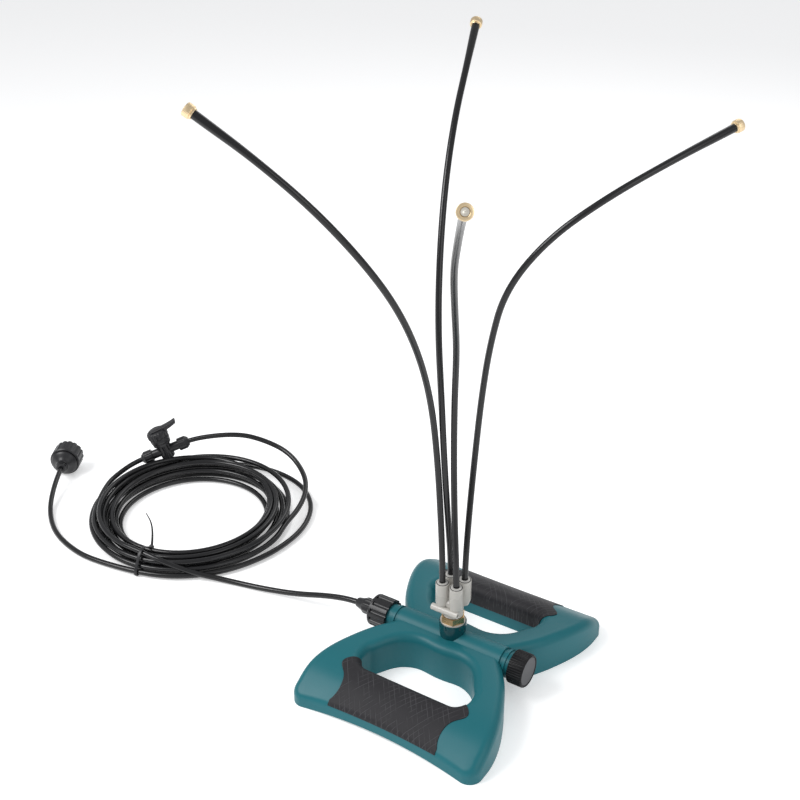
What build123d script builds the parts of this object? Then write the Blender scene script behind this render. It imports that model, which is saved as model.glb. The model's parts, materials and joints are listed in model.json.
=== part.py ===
from build123d import *
import math
import os

# A garden misting sprinkler: a two-handled base with a cross pipe, a swivelling four-way manifold
# with four upright tubes and brass mist nozzles, and a coiled supply hose with a shut-off valve.
# Origin: on the ground under the riser's axis. +X runs along the pipe to the end cap, +Z is up.

os.makedirs("parts", exist_ok=True)

# ---- base ----
foot_half_length = 138.0    # to the outer edge of a foot, along Y, at its corners
foot_bow = 9.0              # how far the outer edge curves in at the middle
corner_half_width = 106.0   # widest half width of a foot, along X
corner_radius = 13.0
waist_half_width = 57.0     # half width of the hub at the pipe
hub_half_depth = 26.0       # hub edge of each loop, along Y
bar_inner_y = 84.0          # loop side of each handle bar
loop_half_width = 61.5
loop_corner_radius = 14.0
shell_wall = 3.0
shoulder_radius = 9.0       # rounding of the top edges
hub_top = 41.0              # top of the shell beside the pipe sleeve
bar_top = 35.0              # top of the handle bars
edge_height = 13.0          # height of the outer edge of a bar
arch_height = 3.5           # clearance arch under the outer edge of a bar
arch_half_width = 92.0
rib_thickness = 3.0
hub_rib_x = 30.0
bar_rib_x = 42.0

# ---- grips ----
grip_half_length = 61.0
grip_waist = 58.0
grip_tab = 71.0
grip_proud = 0.8
grip_depth = 1.4
grip_low = 14.0             # lower edge of a grip above the ground

# ---- water pipe ----
pipe_height = 31.0
pipe_radius = 13.2          # 3/4 inch hose thread
pipe_bore = 10.0
pipe_inlet_x = -88.0
pipe_cap_x = 82.0
sleeve_wall = 1.6
sleeve_half_length = 60.0
pipe_clearance = 0.2
stop_ring_x = 65.0
stop_ring_width = 2.4
stop_ring_height = 1.2
tee_radius = 11.5
tee_top = 47.0
tee_bore = 7.5

# ---- pipe clamp and its screws ----
clamp_half_x = 47.0
clamp_half_y = 21.0
clamp_thickness = 3.0
clamp_gap = 0.1
post_x = 41.0
post_y = 17.5
post_radius = 4.0
screw_radius = 1.5
screw_head_radius = 3.3
screw_head_height = 2.2
screw_length = 12.0

# ---- riser, washer and brass stud ----
riser_radius = 13.5
riser_top = 57.0
riser_collar_height = 5.0
riser_collar_proud = 0.5
riser_seal_thickness = 1.5
thread_clearance = 0.1
washer_thickness = 1.5
stud_thread_radius = 8.0
stud_thread_depth = 8.0
hex_across_flats = 22.5
hex_height = 7.0
spigot_radius = 6.5
spigot_length = 14.5
stud_bore = 4.0
swivel_clearance = 0.08
ring_section = 0.62
clip_thickness = 1.0
clip_proud = 1.5

# ---- manifold ----
stem_radius = 10.6
stem_gap = 0.4
port_pitch = 16.0           # between neighbouring ports, along X and along Y
port_radius = 6.8
port_top = 105.0
port_start = 82.0
port_taper = 6.0
plenum_radius = 8.8
plenum_height = 7.0
tube_seat = 87.0
seal_depth = 4.0
cross_tube_radius = 3.5
cross_tube_bore = 1.6
cross_tube_length = 30.0
cross_tube_y = -12.5
cross_tube_x = -2.0
cross_tube_z = 75.5
straight_port = 13.0        # upright run of a tube above its port
collar_travel = 1.5
collar_clearance = 0.15

# ---- tubes, hoses and nozzles ----
tube_radius = 3.175         # 1/4 inch tube
tube_bore = 2.1
nozzle_radius = 6.0
nozzle_length = 8.0
barb_length = 10.0
barb_clearance = 0.1
insert_radius = 3.8
orifice_radius = 0.4

# ---- end cap and inlet nut ----
cap_radius = 17.2
cap_length = 17.0
cap_wall = 2.4
cap_rib_count = 40
seal_thickness = 2.0
nut_radius = 17.0
nut_length = 22.0
nut_wall = 3.0
nut_rib_count = 12
tail_flange = 2.2
tail_radius = 8.4
clamp_nut_radius = 8.8
clamp_nut_length = 22.0

# ---- valve, on the coil's far side ----
valve_place = (-507.0, 119.0, 38.0)
valve_flow = (0.67, 0.67, 0.32)
barrel_radius = 5.8
barrel_half_length = 26.0
valve_stem_radius = 7.6
valve_stem_low = -10.0
bonnet_low = 12.0
bonnet_top = 22.0
bonnet_radius = 10.4
valve_rib_count = 10
plug_radius = 5.0
flow_bore = 2.0
valve_nut_radius = 8.3
valve_nut_start = 18.0
valve_nut_end = 32.0
lever_radius = 12.6
lever_height = 9.0
lever_reach = 27.0
lever_width = 7.5

# ---- tap connector, lying on the ground ----
tap_place = (-626.0, 56.5)
tap_direction = (-0.52, 0.854, 0.0)
tap_radius = 19.0
tap_half_length = 11.0
tap_rib_count = 16
tap_tail_length = 17.0
tap_relief = 0.6            # undercut round the washer

# ---- coil and tie ----
coil_centre = (-408.0, 58.0)
coil_inner = 84.0
coil_outer = 129.0
coil_half_height = 11.0
tie_angle = -78.0
tie_thickness = 1.0
tie_width = 3.6
tie_gap = 0.1
tie_tail_reach = 16.0
tie_tail_height = 30.0

eps = 0.01

# routes of the upright tubes, from the first bend to the tip
tube_routes = {
    "left": [(-16, 1, 166), (-26, 10, 225), (-30, 5, 289), (-28, -19, 350), (-29, -52, 408),
             (-41, -85, 459), (-69, -115, 509), (-109, -137, 549), (-154, -150, 579)],
    "rear": [(-13, 9, 166), (-20, 12, 228), (-26, 15, 294), (-35, 22, 361), (-47, 43, 425),
             (-62, 76, 483), (-78, 118, 531), (-93, 163, 568), (-110, 207, 595)],
    "front": [(-3, 5, 166), (-13, 18, 225), (-16, 22, 290), (-5, 6, 353), (14, -31, 412),
             (35, -69, 463), (62, -108, 506), (92, -153, 542), (124, -205, 566)],
    "right": [(1, 25, 166), (-6, 46, 223), (-4, 52, 285), (4, 51, 344), (18, 50, 401),
             (50, 64, 451), (90, 95, 488), (128, 148, 515), (157, 207, 533)],
}
port_signs = {"left": (-1, -1), "rear": (-1, 1), "front": (1, -1), "right": (1, 1)}

# routes of the hoses where they aren't coiled, after the straight part at each fitting
feed_route = [(-156, -1, 24), (-200, -4, 10), (-245, -10, 3.4), (-288, -20, 3.4), (-326, -36, 9)]
supply_route = [(-583, -11, 9), (-559, -36, 3.4), (-524, -59, 3.4), (-486, -71, 3.4),
                (-448, -75, 3.4), (-416, -66, 7)]
valve_loop_route = [(-433, 176, 58), (-401, 190, 52), (-364, 196, 42), (-328, 181, 29),
                    (-308, 157, 21), (-297, 126, 15), (-293, 94, 14)]
valve_tail_route = [(-540, 66, 19), (-536, 40, 15)]
loose_loop_route = [(-450, 172, 20), (-424, 188, 18), (-390, 200, 9), (-353, 199, 3.6), (-318, 176, 3.4),
                    (-299, 142, 3.4), (-291, 104, 6)]
straight_exit = 10.0        # hose that leaves a fitting in line with it


def drum(radius, low, high, inner=0.0):
    """A round bar or ring along Z between two heights."""
    body = Pos(0, 0, low) * Cylinder(radius, high - low, align=(Align.CENTER, Align.CENTER, Align.MIN))
    if inner > 0:
        cutter = Pos(0, 0, low - 1) * Cylinder(inner, high - low + 2,
                                               align=(Align.CENTER, Align.CENTER, Align.MIN))
        body = body - cutter
    return body


def cone(low_radius, high_radius, low, high):
    """A round taper along Z between two heights."""
    return Pos(0, 0, low) * Cone(low_radius, high_radius, high - low,
                                 align=(Align.CENTER, Align.CENTER, Align.MIN))


def hexagon(across_flats, low, high):
    """A hexagonal bar along Z between two heights."""
    face = RegularPolygon(across_flats / 2, 6, major_radius=False)
    return Pos(0, 0, low) * extrude(face, high - low)


def block(x0, x1, y0, y1, z0, z1):
    """A box between three pairs of limits."""
    centre = Pos((x0 + x1) / 2, (y0 + y1) / 2, (z0 + z1) / 2)
    return centre * Box(abs(x1 - x0), abs(y1 - y0), abs(z1 - z0))


def ribbed(body, radius, count, depth, low, high):
    """Cuts shallow round flutes along Z into the outside of a round body."""
    spacing = 2 * math.pi * radius / count
    flute = spacing * 0.3
    tools = []
    for step in range(count):
        tool = Rot(0, 0, 360 / count * step) * Pos(radius + flute - depth, 0, 0) * drum(flute, low, high)
        tools.append(tool)
    return body - tools


def save(shape, name):
    """Writes one node."""
    export_step(shape, "parts/" + name + ".step")


# The axis of the pipe, as a place for parts that are drawn along Z
along_pipe = Pos(0, 0, pipe_height) * Rot(0, 90, 0)


# ---- base shell ----
def foot_side():
    """The side of a foot from the hub to its straight end, in plan."""
    points = [(waist_half_width, 0), (waist_half_width + 16, 24), (corner_half_width - 16, 54),
              (corner_half_width - 4, 86), (corner_half_width, 114)]
    return Spline(points, tangents=[(0.35, 1), (0.0, 1)], tangent_scalars=[1, 1])


def loop_side():
    """The side of an opening from the hub to its straight end, in plan."""
    points = [(0, hub_half_depth + 0.8), (24, hub_half_depth - 0.6), (45, hub_half_depth + 10),
              (loop_half_width - 4, 56), (loop_half_width, 70)]
    return Spline(points, tangents=[(1, 0), (0, 1)])


def foot_outline(move):
    """One foot's plan, seen from above, moved inwards by a distance, as one face for the whole base."""
    right = foot_side()
    corner = (corner_half_width, foot_half_length)
    bow = (0, foot_half_length - foot_bow)
    line = Line(right @ 1, corner)
    edge = ThreePointArc(corner, bow, (-corner_half_width, foot_half_length))
    half = Curve() + [right, line, edge, mirror(line, Plane.YZ), mirror(right, Plane.YZ)]
    whole = Curve() + [half, mirror(half, Plane.XZ)]
    face = make_face(whole.edges())
    corners = face.vertices().filter_by(lambda v: abs(abs(v.X) - corner_half_width) < 0.01
                                        and abs(abs(v.Y) - foot_half_length) < 0.01)
    face = fillet(corners, corner_radius)
    return offset(face, -move) if abs(move) > 0 else face


def loop_face(move):
    """The plan of the opening between a handle bar and the hub, grown by a distance."""
    top_x = loop_half_width
    right = loop_side()
    line = Line(right @ 1, (top_x, bar_inner_y))
    bar = Line((top_x, bar_inner_y), (-top_x, bar_inner_y))
    face = make_face((Curve() + [right, line, bar, mirror(line, Plane.YZ), mirror(right, Plane.YZ)]).edges())
    corners = face.vertices().filter_by(lambda v: abs(v.Y - bar_inner_y) < 0.01)
    face = fillet(corners, loop_corner_radius)
    return offset(face, move) if abs(move) > 0 else face


def roof(move):
    """Everything under the top of the base, lowered by a distance."""
    heights = [(0, hub_top), (34, hub_top - 1), (66, (hub_top + bar_top) / 2 + 0.2), (92, bar_top),
               (108, bar_top - 5), (122, bar_top - 13), (foot_half_length - 3, edge_height),
               (foot_half_length + 9, edge_height - 11)]
    right = [(y, z - move) for y, z in heights]
    left = [(-y, z) for y, z in reversed(right[1:])]
    top = Spline(left + right)
    low = -30.0
    end = right[-1]
    sides = Polyline([end, (end[0], low), (-end[0], low), (-end[0], end[1])])
    face = Plane.YZ * make_face((Curve() + [top, sides]).edges())
    return extrude(face, corner_half_width + 20, both=True)


def base_body(move, low=0.0):
    """The rounded outer form of the base, moved inwards by a distance."""
    plan = foot_outline(move)
    for sign in (1, -1):
        loop = loop_face(move)
        plan = plan - (loop if sign > 0 else mirror(loop, Plane.XZ))
    block_up = Pos(0, 0, low) * extrude(plan, hub_top + 20)
    body = block_up & roof(move)
    rim = body.edges().filter_by(lambda e: e.center().Z > 2 and abs(e.tangent_at(0.5).Z) < 0.97
                                 and e.bounding_box().min.Z > low + 1)
    return fillet(rim, shoulder_radius - move)


def hollow_plan(inset):
    """The plan of the underside's hollow, at a distance inside the outline, with straight sides."""
    steps = 8
    side = foot_side()
    loop = loop_side()
    outer = []
    for step in range(steps + 1):
        here = side @ (step / steps)
        along = side % (step / steps)
        outer.append((here.X - along.Y * inset, here.Y + along.X * inset))
    x = corner_half_width - inset
    y = foot_half_length - inset
    cut = 0.6 * corner_radius
    outer = outer + [(x, y - cut), (x - cut, y - 0.02 * cut), (x / 2, y - 0.75 * foot_bow)]
    outer = outer + [(0, y - foot_bow)]
    outer = outer + [(-px, py) for px, py in reversed(outer[:-1])]
    lower = [(px, -py) for px, py in reversed(outer[1:-1])]
    plan = make_face(Polyline(outer + lower, close=True))
    ring = []
    for step in range(steps + 1):
        here = loop @ (step / steps)
        along = loop % (step / steps)
        ring.append((here.X + along.Y * inset, here.Y - along.X * inset))
    x = loop_half_width + inset
    y = bar_inner_y + inset
    cut = 0.4 * loop_corner_radius
    ring = ring + [(x, y - cut), (x - cut, y)]
    ring = ring + [(-px, py) for px, py in reversed(ring[1:])]
    opening = make_face(Polyline(ring, close=True))
    return plan - opening - mirror(opening, Plane.XZ)


def base_hollow():
    """The stepped hollow under the base."""
    rim = -30.0
    wide = Pos(0, 0, rim) * extrude(hollow_plan(shell_wall + 0.6), hub_top + 40) & roof(shoulder_radius)
    narrow = Pos(0, 0, rim) * extrude(hollow_plan(shoulder_radius), hub_top + 40) & roof(shell_wall)
    return wide + narrow


def grip_region(slack):
    """The saddle-shaped patch that a grip covers on the front bar, as an upright block."""
    far = foot_half_length + 20
    near = bar_inner_y - 10
    outer_y = foot_half_length - foot_bow - 1
    end = [(grip_half_length + slack, outer_y), (grip_waist + slack, outer_y - 16),
           (grip_waist + 4.5 + slack, outer_y - 26), (grip_tab + slack, bar_inner_y + 9),
           (grip_tab + slack - 3, bar_inner_y)]
    curve = Spline(end)
    rest = Polyline([end[-1], (loop_half_width - 4, near), (-loop_half_width + 4, near),
                     (-end[-1][0], end[-1][1])])
    far_side = Polyline([end[0], (end[0][0], far), (-end[0][0], far), (-end[0][0], end[0][1])])
    face = make_face((Curve() + [curve, rest, mirror(curve, Plane.YZ), far_side]).edges())
    return Pos(0, 0, grip_low - slack) * extrude(mirror(face, Plane.XZ), hub_top + 30)


def make_base():
    """The hollow shell with its ribs and posts, and the two grips."""
    body = base_body(0)
    hollow = base_hollow()
    sleeve_radius = pipe_radius + pipe_clearance + sleeve_wall
    ribs = []
    for side in (-1, 1):
        for x in (-hub_rib_x, hub_rib_x):
            ribs.append(block(x - rib_thickness / 2, x + rib_thickness / 2, 0, side * (hub_half_depth + 4),
                              pipe_height - pipe_radius, hub_top))
        for x in (-bar_rib_x, 0, bar_rib_x):
            ribs.append(block(x - rib_thickness / 2, x + rib_thickness / 2, side * (bar_inner_y - 4),
                              side * (foot_half_length + 4), arch_height + 3, hub_top))
    posts = []
    for x in (-post_x, post_x):
        for y in (-post_y, post_y):
            posts.append(Pos(x, y, 0) * drum(post_radius, pipe_height - pipe_radius - clamp_gap, hub_top))
    hollow = hollow - ribs - posts
    sleeve = along_pipe * drum(sleeve_radius, -sleeve_half_length, sleeve_half_length)
    shell = body - hollow
    shell = shell + sleeve
    channel_radius = pipe_radius + pipe_clearance
    channel_end = sleeve_half_length + 1
    cuts = [along_pipe * drum(channel_radius, -channel_end, channel_end),
            block(-channel_end, channel_end, -channel_radius, channel_radius, -1, pipe_height),
            drum(tee_radius + pipe_clearance, pipe_height, hub_top + 20)]
    # room for the pipe and its stop rings where they leave the sleeve
    room = pipe_radius + stop_ring_height + pipe_clearance
    for side in (-1, 1):
        near = side * (sleeve_half_length + pipe_clearance)
        far = side * (stop_ring_x + stop_ring_width + 1)
        cuts.append(along_pipe * drum(room, min(near, far), max(near, far)))
        cuts.append(block(near, far, -room, room, -1, pipe_height))
    for x in (-post_x, post_x):
        for y in (-post_y, post_y):
            low = pipe_height - pipe_radius - clamp_gap
            cuts.append(Pos(x, y, 0) * drum(screw_radius, low - 1, low + screw_length + 1))
    # the arch under each bar's outer edge
    rise = ThreePointArc((-arch_half_width, 0), (0, arch_height), (arch_half_width, 0))
    arch = make_face((Curve() + [rise, Line((arch_half_width, 0), (-arch_half_width, 0))]).edges())
    arch = Plane.XZ * arch
    reach = 30.0
    for side in (-1, 1):
        middle = side * (foot_half_length - foot_bow - 8 + reach / 2)
        cuts.append(Pos(0, middle, 0) * extrude(arch, reach / 2, both=True))
    shell = shell - cuts

    skin = base_body(-grip_proud, -1) - base_body(grip_depth, -2)
    recess = grip_region(0.1) - base_body(grip_depth + 0.05, -2)
    front = grip_region(0) & skin
    shell = shell - recess
    shell = shell - mirror(recess, Plane.XZ)
    save(shell, "base_shell")
    save(front, "front_grip")
    save(mirror(front, Plane.XZ), "rear_grip")


# ---- water pipe, clamp and screws ----
def make_pipe():
    """The cross pipe, and the plate and screws that hold it in the hub."""
    pipe = along_pipe * drum(pipe_radius, pipe_inlet_x, pipe_cap_x)
    pipe = pipe + drum(tee_radius, pipe_height, tee_top)
    for x in (-stop_ring_x, stop_ring_x):
        ring = drum(pipe_radius + stop_ring_height, x - stop_ring_width / 2, x + stop_ring_width / 2)
        pipe = pipe + along_pipe * ring
    pipe = pipe - along_pipe * drum(pipe_bore, pipe_inlet_x - 1, pipe_cap_x + 1)
    pipe = pipe - drum(tee_bore, pipe_height, tee_top + 1)
    save(pipe, "water_pipe")

    top = pipe_height - pipe_radius - clamp_gap
    low = top - clamp_thickness
    plate = block(-clamp_half_x, clamp_half_x, -clamp_half_y, clamp_half_y, low, top)
    plate = fillet(plate.edges().filter_by(Axis.Z), 3)
    screws = []
    for x in (-post_x, post_x):
        for y in (-post_y, post_y):
            plate = plate - Pos(x, y, 0) * drum(screw_radius + 0.3, low - 1, top + 1)
            screw = drum(screw_radius - 0.05, low - eps, top + screw_length)
            head = drum(screw_head_radius, low - screw_head_height, low)
            slot = block(-0.5, 0.5, -2.2, 2.2, low - screw_head_height - 1, low - screw_head_height + 1)
            cross = slot + Rot(0, 0, 90) * slot
            screws.append(Pos(x, y, 0) * (screw + head - cross))
    save(plate, "pipe_clamp")
    save(Compound(children=screws), "clamp_screws")


# ---- riser, washer and brass stud ----
def make_riser():
    """The collar that screws on the pipe's tee, with its seal, washer and the brass stud."""
    seat = tee_top + riser_seal_thickness + thread_clearance
    riser = drum(riser_radius, hub_top + pipe_clearance, riser_top)
    collar = drum(riser_radius + riser_collar_proud, riser_top - riser_collar_height, riser_top)
    riser = riser + collar
    riser = riser - drum(tee_radius + thread_clearance, hub_top - 5, seat)
    riser = riser - drum(stud_thread_radius + thread_clearance, seat - 1, riser_top + 1)
    sleeve_radius = pipe_radius + pipe_clearance + sleeve_wall
    riser = riser - along_pipe * drum(sleeve_radius + pipe_clearance, -30, 30)
    # spanner notches round the collar
    notches = []
    for step in range(6):
        notch = Pos(riser_radius + 1.6, 0, 0) * Rot(0, 0, 45)
        notch = notch * block(-1.3, 1.3, -1.3, 1.3, riser_top - riser_collar_height, riser_top + 1)
        notches.append(Rot(0, 0, 60 * step - 90) * notch)
    riser = riser - notches
    save(riser, "riser_boss")
    save(drum(tee_radius - 0.2, tee_top, tee_top + riser_seal_thickness, stud_thread_radius + 0.3),
         "riser_seal")

    washer_top = riser_top + washer_thickness
    save(drum(riser_radius - 0.8, riser_top, washer_top, stud_thread_radius + 0.2), "sealing_washer")

    hex_top = washer_top + hex_height
    nut = hexagon(hex_across_flats, washer_top, hex_top)
    corner = hex_across_flats / math.sqrt(3)
    bevel = 1.4
    nut = nut & (cone(corner + 2, corner - bevel / 2, hex_top - 2.5, hex_top)
                 + drum(corner + 2, washer_top - 1, hex_top - 2.5))
    stud = nut + drum(stud_thread_radius, riser_top - stud_thread_depth, washer_top)
    spigot_top = hex_top + spigot_length
    stud = stud + drum(spigot_radius, hex_top, spigot_top)
    ring_low = hex_top + 3.5
    groove = 2 * ring_section + 0.6
    ring_floor = spigot_radius - 2 * ring_section + 0.05
    stud = stud - drum(spigot_radius + 1, ring_low, ring_low + groove, ring_floor)
    clip_low = spigot_top - 2.8
    clip_floor = spigot_radius - 0.9
    stud = stud - drum(spigot_radius + 1, clip_low - 0.1, clip_low + clip_thickness + 0.1, clip_floor)
    stud = stud - drum(stud_bore, riser_top - stud_thread_depth - 1, spigot_top + 1)
    save(stud, "brass_stud")

    ring_radius = ring_floor + ring_section + 0.03
    o_ring = Pos(0, 0, ring_low + groove / 2) * Torus(ring_radius, ring_section)
    save(o_ring, "stud_o_ring")

    clip = drum(spigot_radius + clip_proud, clip_low, clip_low + clip_thickness, clip_floor + 0.05)
    clip = clip - block(0, 20, -3.2, 3.2, clip_low - 1, clip_low + clip_thickness + 1)
    save(clip, "manifold_clip")
    return clip_low, hex_top


# ---- manifold, ports, tubes and nozzles ----
def port_places():
    """The centre of each port, by name."""
    half = port_pitch / 2
    return {name: (half * sx, half * sy) for name, (sx, sy) in port_signs.items()}


seal_low = tube_seat + seal_depth
seal_radius = 5.0
grip_ring_low = seal_low + 2.1
sleeve_low = grip_ring_low + 0.6 + collar_travel
collar_sleeve = 4.5
collar_flange = 5.5
collar_floor = port_top - 1.4 - collar_travel - 0.1
collar_top = port_top + 1.0


def make_manifold(clip_low, hex_top):
    """The swivelling four-way body with its seals, grip rings and release collars."""
    stem_low = hex_top + stem_gap
    plenum_low = clip_low - 0.3
    plenum_top = plenum_low + plenum_height
    shoulder = port_start + 2
    body = drum(stem_radius, stem_low, shoulder)
    body = body + cone(stem_radius, stem_radius - 3, shoulder, shoulder + 3)
    body = body + drum(stem_radius - 3, shoulder, port_top - 8)
    for x, y in port_places().values():
        port = drum(port_radius, port_start, port_top) + cone(port_radius - 2.2, port_radius,
                                                              port_start - port_taper, port_start)
        body = body + Pos(x, y, 0) * port
    bar_axis = Pos(cross_tube_x, cross_tube_y, cross_tube_z) * Rot(0, 90, 0)
    half = cross_tube_length / 2
    body = body + bar_axis * drum(cross_tube_radius, -half, half)
    body = body - drum(spigot_radius + swivel_clearance, stem_low - 1, plenum_low + 1)
    body = body - drum(plenum_radius, plenum_low, plenum_top)
    body = body - bar_axis * drum(cross_tube_bore, -half - 1, half + 1)
    for x, y in port_places().values():
        turn = math.degrees(math.atan2(y, x))
        reach = math.hypot(x, y)
        feed = Pos(0, 0, plenum_top - 2.6) * Rot(0, 0, turn) * Rot(0, 90, 0) * drum(2.0, 0, reach)
        well = drum(2.0, plenum_top - 2.6, tube_seat + 1)
        well = well + drum(tube_radius + 0.08, tube_seat, seal_low + 1)
        well = well + drum(seal_radius, seal_low, sleeve_low - 0.6)
        well = well + drum(collar_sleeve + collar_clearance, seal_low, port_top + 1)
        well = well + drum(collar_flange + collar_clearance, collar_floor, port_top + 1)
        body = body - feed - Pos(x, y, 0) * well
    save(body, "manifold")

    rings = []
    grips = []
    for name, (x, y) in port_places().items():
        ring = Torus(tube_radius + 0.9, 0.82)
        rings.append(Pos(x, y, seal_low + 0.9) * ring)
        washer = drum(seal_radius - 0.1, grip_ring_low, grip_ring_low + 0.5, tube_radius + 0.1)
        teeth = [Rot(0, 0, 45 * step) * block(tube_radius + 0.5, seal_radius - 0.7, -0.25, 0.25,
                                              grip_ring_low - 1, grip_ring_low + 1) for step in range(8)]
        grips.append(Pos(x, y, 0) * (washer - teeth))
        collar = drum(collar_sleeve, sleeve_low, collar_top, tube_radius + 0.12)
        collar = collar + drum(collar_flange, port_top - 1.4, collar_top, tube_radius + 0.12)
        rim = collar.edges().group_by(Axis.Z)[-1].sort_by(SortBy.RADIUS)[-1]
        collar = fillet(rim, 0.6)
        save(Pos(x, y, 0) * collar, "release_collar_" + name)
    save(Compound(children=rings), "port_o_rings")
    save(Compound(children=grips), "grip_rings")


def tube_path(points, name):
    """Straight runs joined by tangent arcs, each arc as large as its two runs allow."""
    corners = [Vector(*point) for point in points]
    radii = []
    for before, here, after in zip(corners, corners[1:], corners[2:]):
        first = here - before
        second = after - here
        half_turn = math.radians(first.get_angle(second)) / 2
        radii.append(0.45 * min(first.length, second.length) / math.tan(half_turn))
    print(name, "radii", [round(r) for r in radii])
    return FilletPolyline(corners, radius=radii)


def tube_solid(points, name, bore=0.0):
    """A tube along a route, with its length and volume printed."""
    path = tube_path(points, name)
    ring = Circle(tube_radius)
    if bore > 0:
        ring = ring - Circle(bore)
    start = Plane(origin=path @ 0, z_dir=path % 0)
    body = sweep(start * ring, path=path)
    expected = ring.area * path.length
    print(name, "length", round(path.length), "volume ratio", round(body.volume / expected, 4))
    return body, path


def nozzle_place(path):
    """The place of a nozzle: its back face on the tube's end, +Z out of it."""
    return Location(Plane(origin=path @ 1, z_dir=path % 1))


def make_tubes():
    """The four upright tubes and the nozzle at the tip of each."""
    for name, (x, y) in port_places().items():
        points = [(x, y, tube_seat), (x, y, port_top + straight_port)] + tube_routes[name]
        tube, path = tube_solid(points, "tube_" + name, tube_bore)
        save(tube, "tube_" + name)
        place = nozzle_place(path)
        head = drum(nozzle_radius, 0, nozzle_length)
        head = ribbed(head, nozzle_radius, 20, 0.35, 1.6, nozzle_length - 1.6)
        head = chamfer(head.edges().group_by(Axis.Z)[-1], 0.6)
        barb = drum(tube_bore - barb_clearance, -barb_length, 0)
        nozzle = head + barb - drum(insert_radius + 0.05, nozzle_length - 2.2, nozzle_length + 1)
        nozzle = nozzle - drum(1.1, -barb_length - 1, nozzle_length)
        save(place * nozzle, "nozzle_" + name)
        insert = drum(insert_radius, nozzle_length - 2.2, nozzle_length - 0.4, orifice_radius)
        save(place * insert, "nozzle_insert_" + name)


# ---- end cap ----
def make_end_cap():
    """The knurled cap that closes the far end of the pipe, with its seal and face disc."""
    inner_end = pipe_cap_x + seal_thickness + 0.1
    outer_end = inner_end + cap_wall + 1.2
    start = outer_end - cap_length
    cap = drum(cap_radius, start, outer_end)
    cap = cap - drum(pipe_radius + thread_clearance, start - 1, inner_end)
    cap = cap - drum(cap_radius - 2.6, outer_end - 1.2, outer_end + 1)
    cap = ribbed(cap, cap_radius, cap_rib_count, 0.55, start + 1.2, outer_end - 1.2)
    save(along_pipe * cap, "end_cap")
    save(along_pipe * drum(cap_radius - 2.7, outer_end - 1.2, outer_end - 0.5), "cap_disc")
    save(along_pipe * drum(pipe_radius - 0.2, pipe_cap_x + 0.1, inner_end, pipe_bore), "cap_seal")


# ---- inlet nut, tail and hose clamp ----
def make_inlet():
    """The coupling at the pipe's inlet. Parts are drawn along +Z away from the pipe."""
    outward = Pos(pipe_inlet_x, 0, pipe_height) * Rot(0, -90, 0)
    washer_end = seal_thickness + 0.1
    flange_end = washer_end + tail_flange
    nut_end = flange_end + 0.1 + nut_wall
    nut = drum(nut_radius, nut_end - nut_length, nut_end)
    nut = chamfer(nut.edges().group_by(Axis.Z)[-1], 1.0)
    nut = ribbed(nut, nut_radius, nut_rib_count, 1.6, nut_end - nut_length - 1, nut_end - 3)
    nut = nut - drum(pipe_radius + thread_clearance, nut_end - nut_length - 1, flange_end + 0.1)
    nut = nut - drum(tail_radius + 0.25, flange_end, nut_end + 1)
    save(outward * nut, "inlet_nut")
    save(outward * drum(pipe_radius - 0.4, 0.1, washer_end, pipe_bore - 2), "inlet_washer")

    neck_end = nut_end + 0.6
    spigot_end = neck_end + 10
    tail = drum(pipe_radius - 0.3, washer_end, flange_end) + drum(tail_radius, washer_end, neck_end)
    tail = tail + drum(5.6, neck_end, spigot_end) - drum(flow_bore, washer_end - 1, spigot_end + 1)
    save(outward * tail, "hose_tail")

    end = neck_end + clamp_nut_length
    taper = end - 7
    clamp = drum(clamp_nut_radius, neck_end, taper - 6) + cone(clamp_nut_radius, 6.6, taper - 6, taper)
    clamp = clamp + cone(6.6, 4.6, taper, end)
    clamp = clamp - drum(5.7, neck_end - 1, spigot_end + 0.1)
    clamp = clamp - drum(tube_radius + 0.1, spigot_end, end + 1)
    clamp = ribbed(clamp, clamp_nut_radius, 8, 0.7, neck_end + 1, taper - 7)
    save(outward * clamp, "hose_clamp_nut")
    return pipe_inlet_x - spigot_end, pipe_inlet_x - end


# ---- valve ----
def valve_plane():
    """The valve's own place: X along the flow, Z up its stem."""
    flow = Vector(*valve_flow).normalized()
    across = flow.cross(Vector(0, 0, 1)).normalized()
    return Plane(origin=valve_place, x_dir=flow, z_dir=across.cross(flow))


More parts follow.
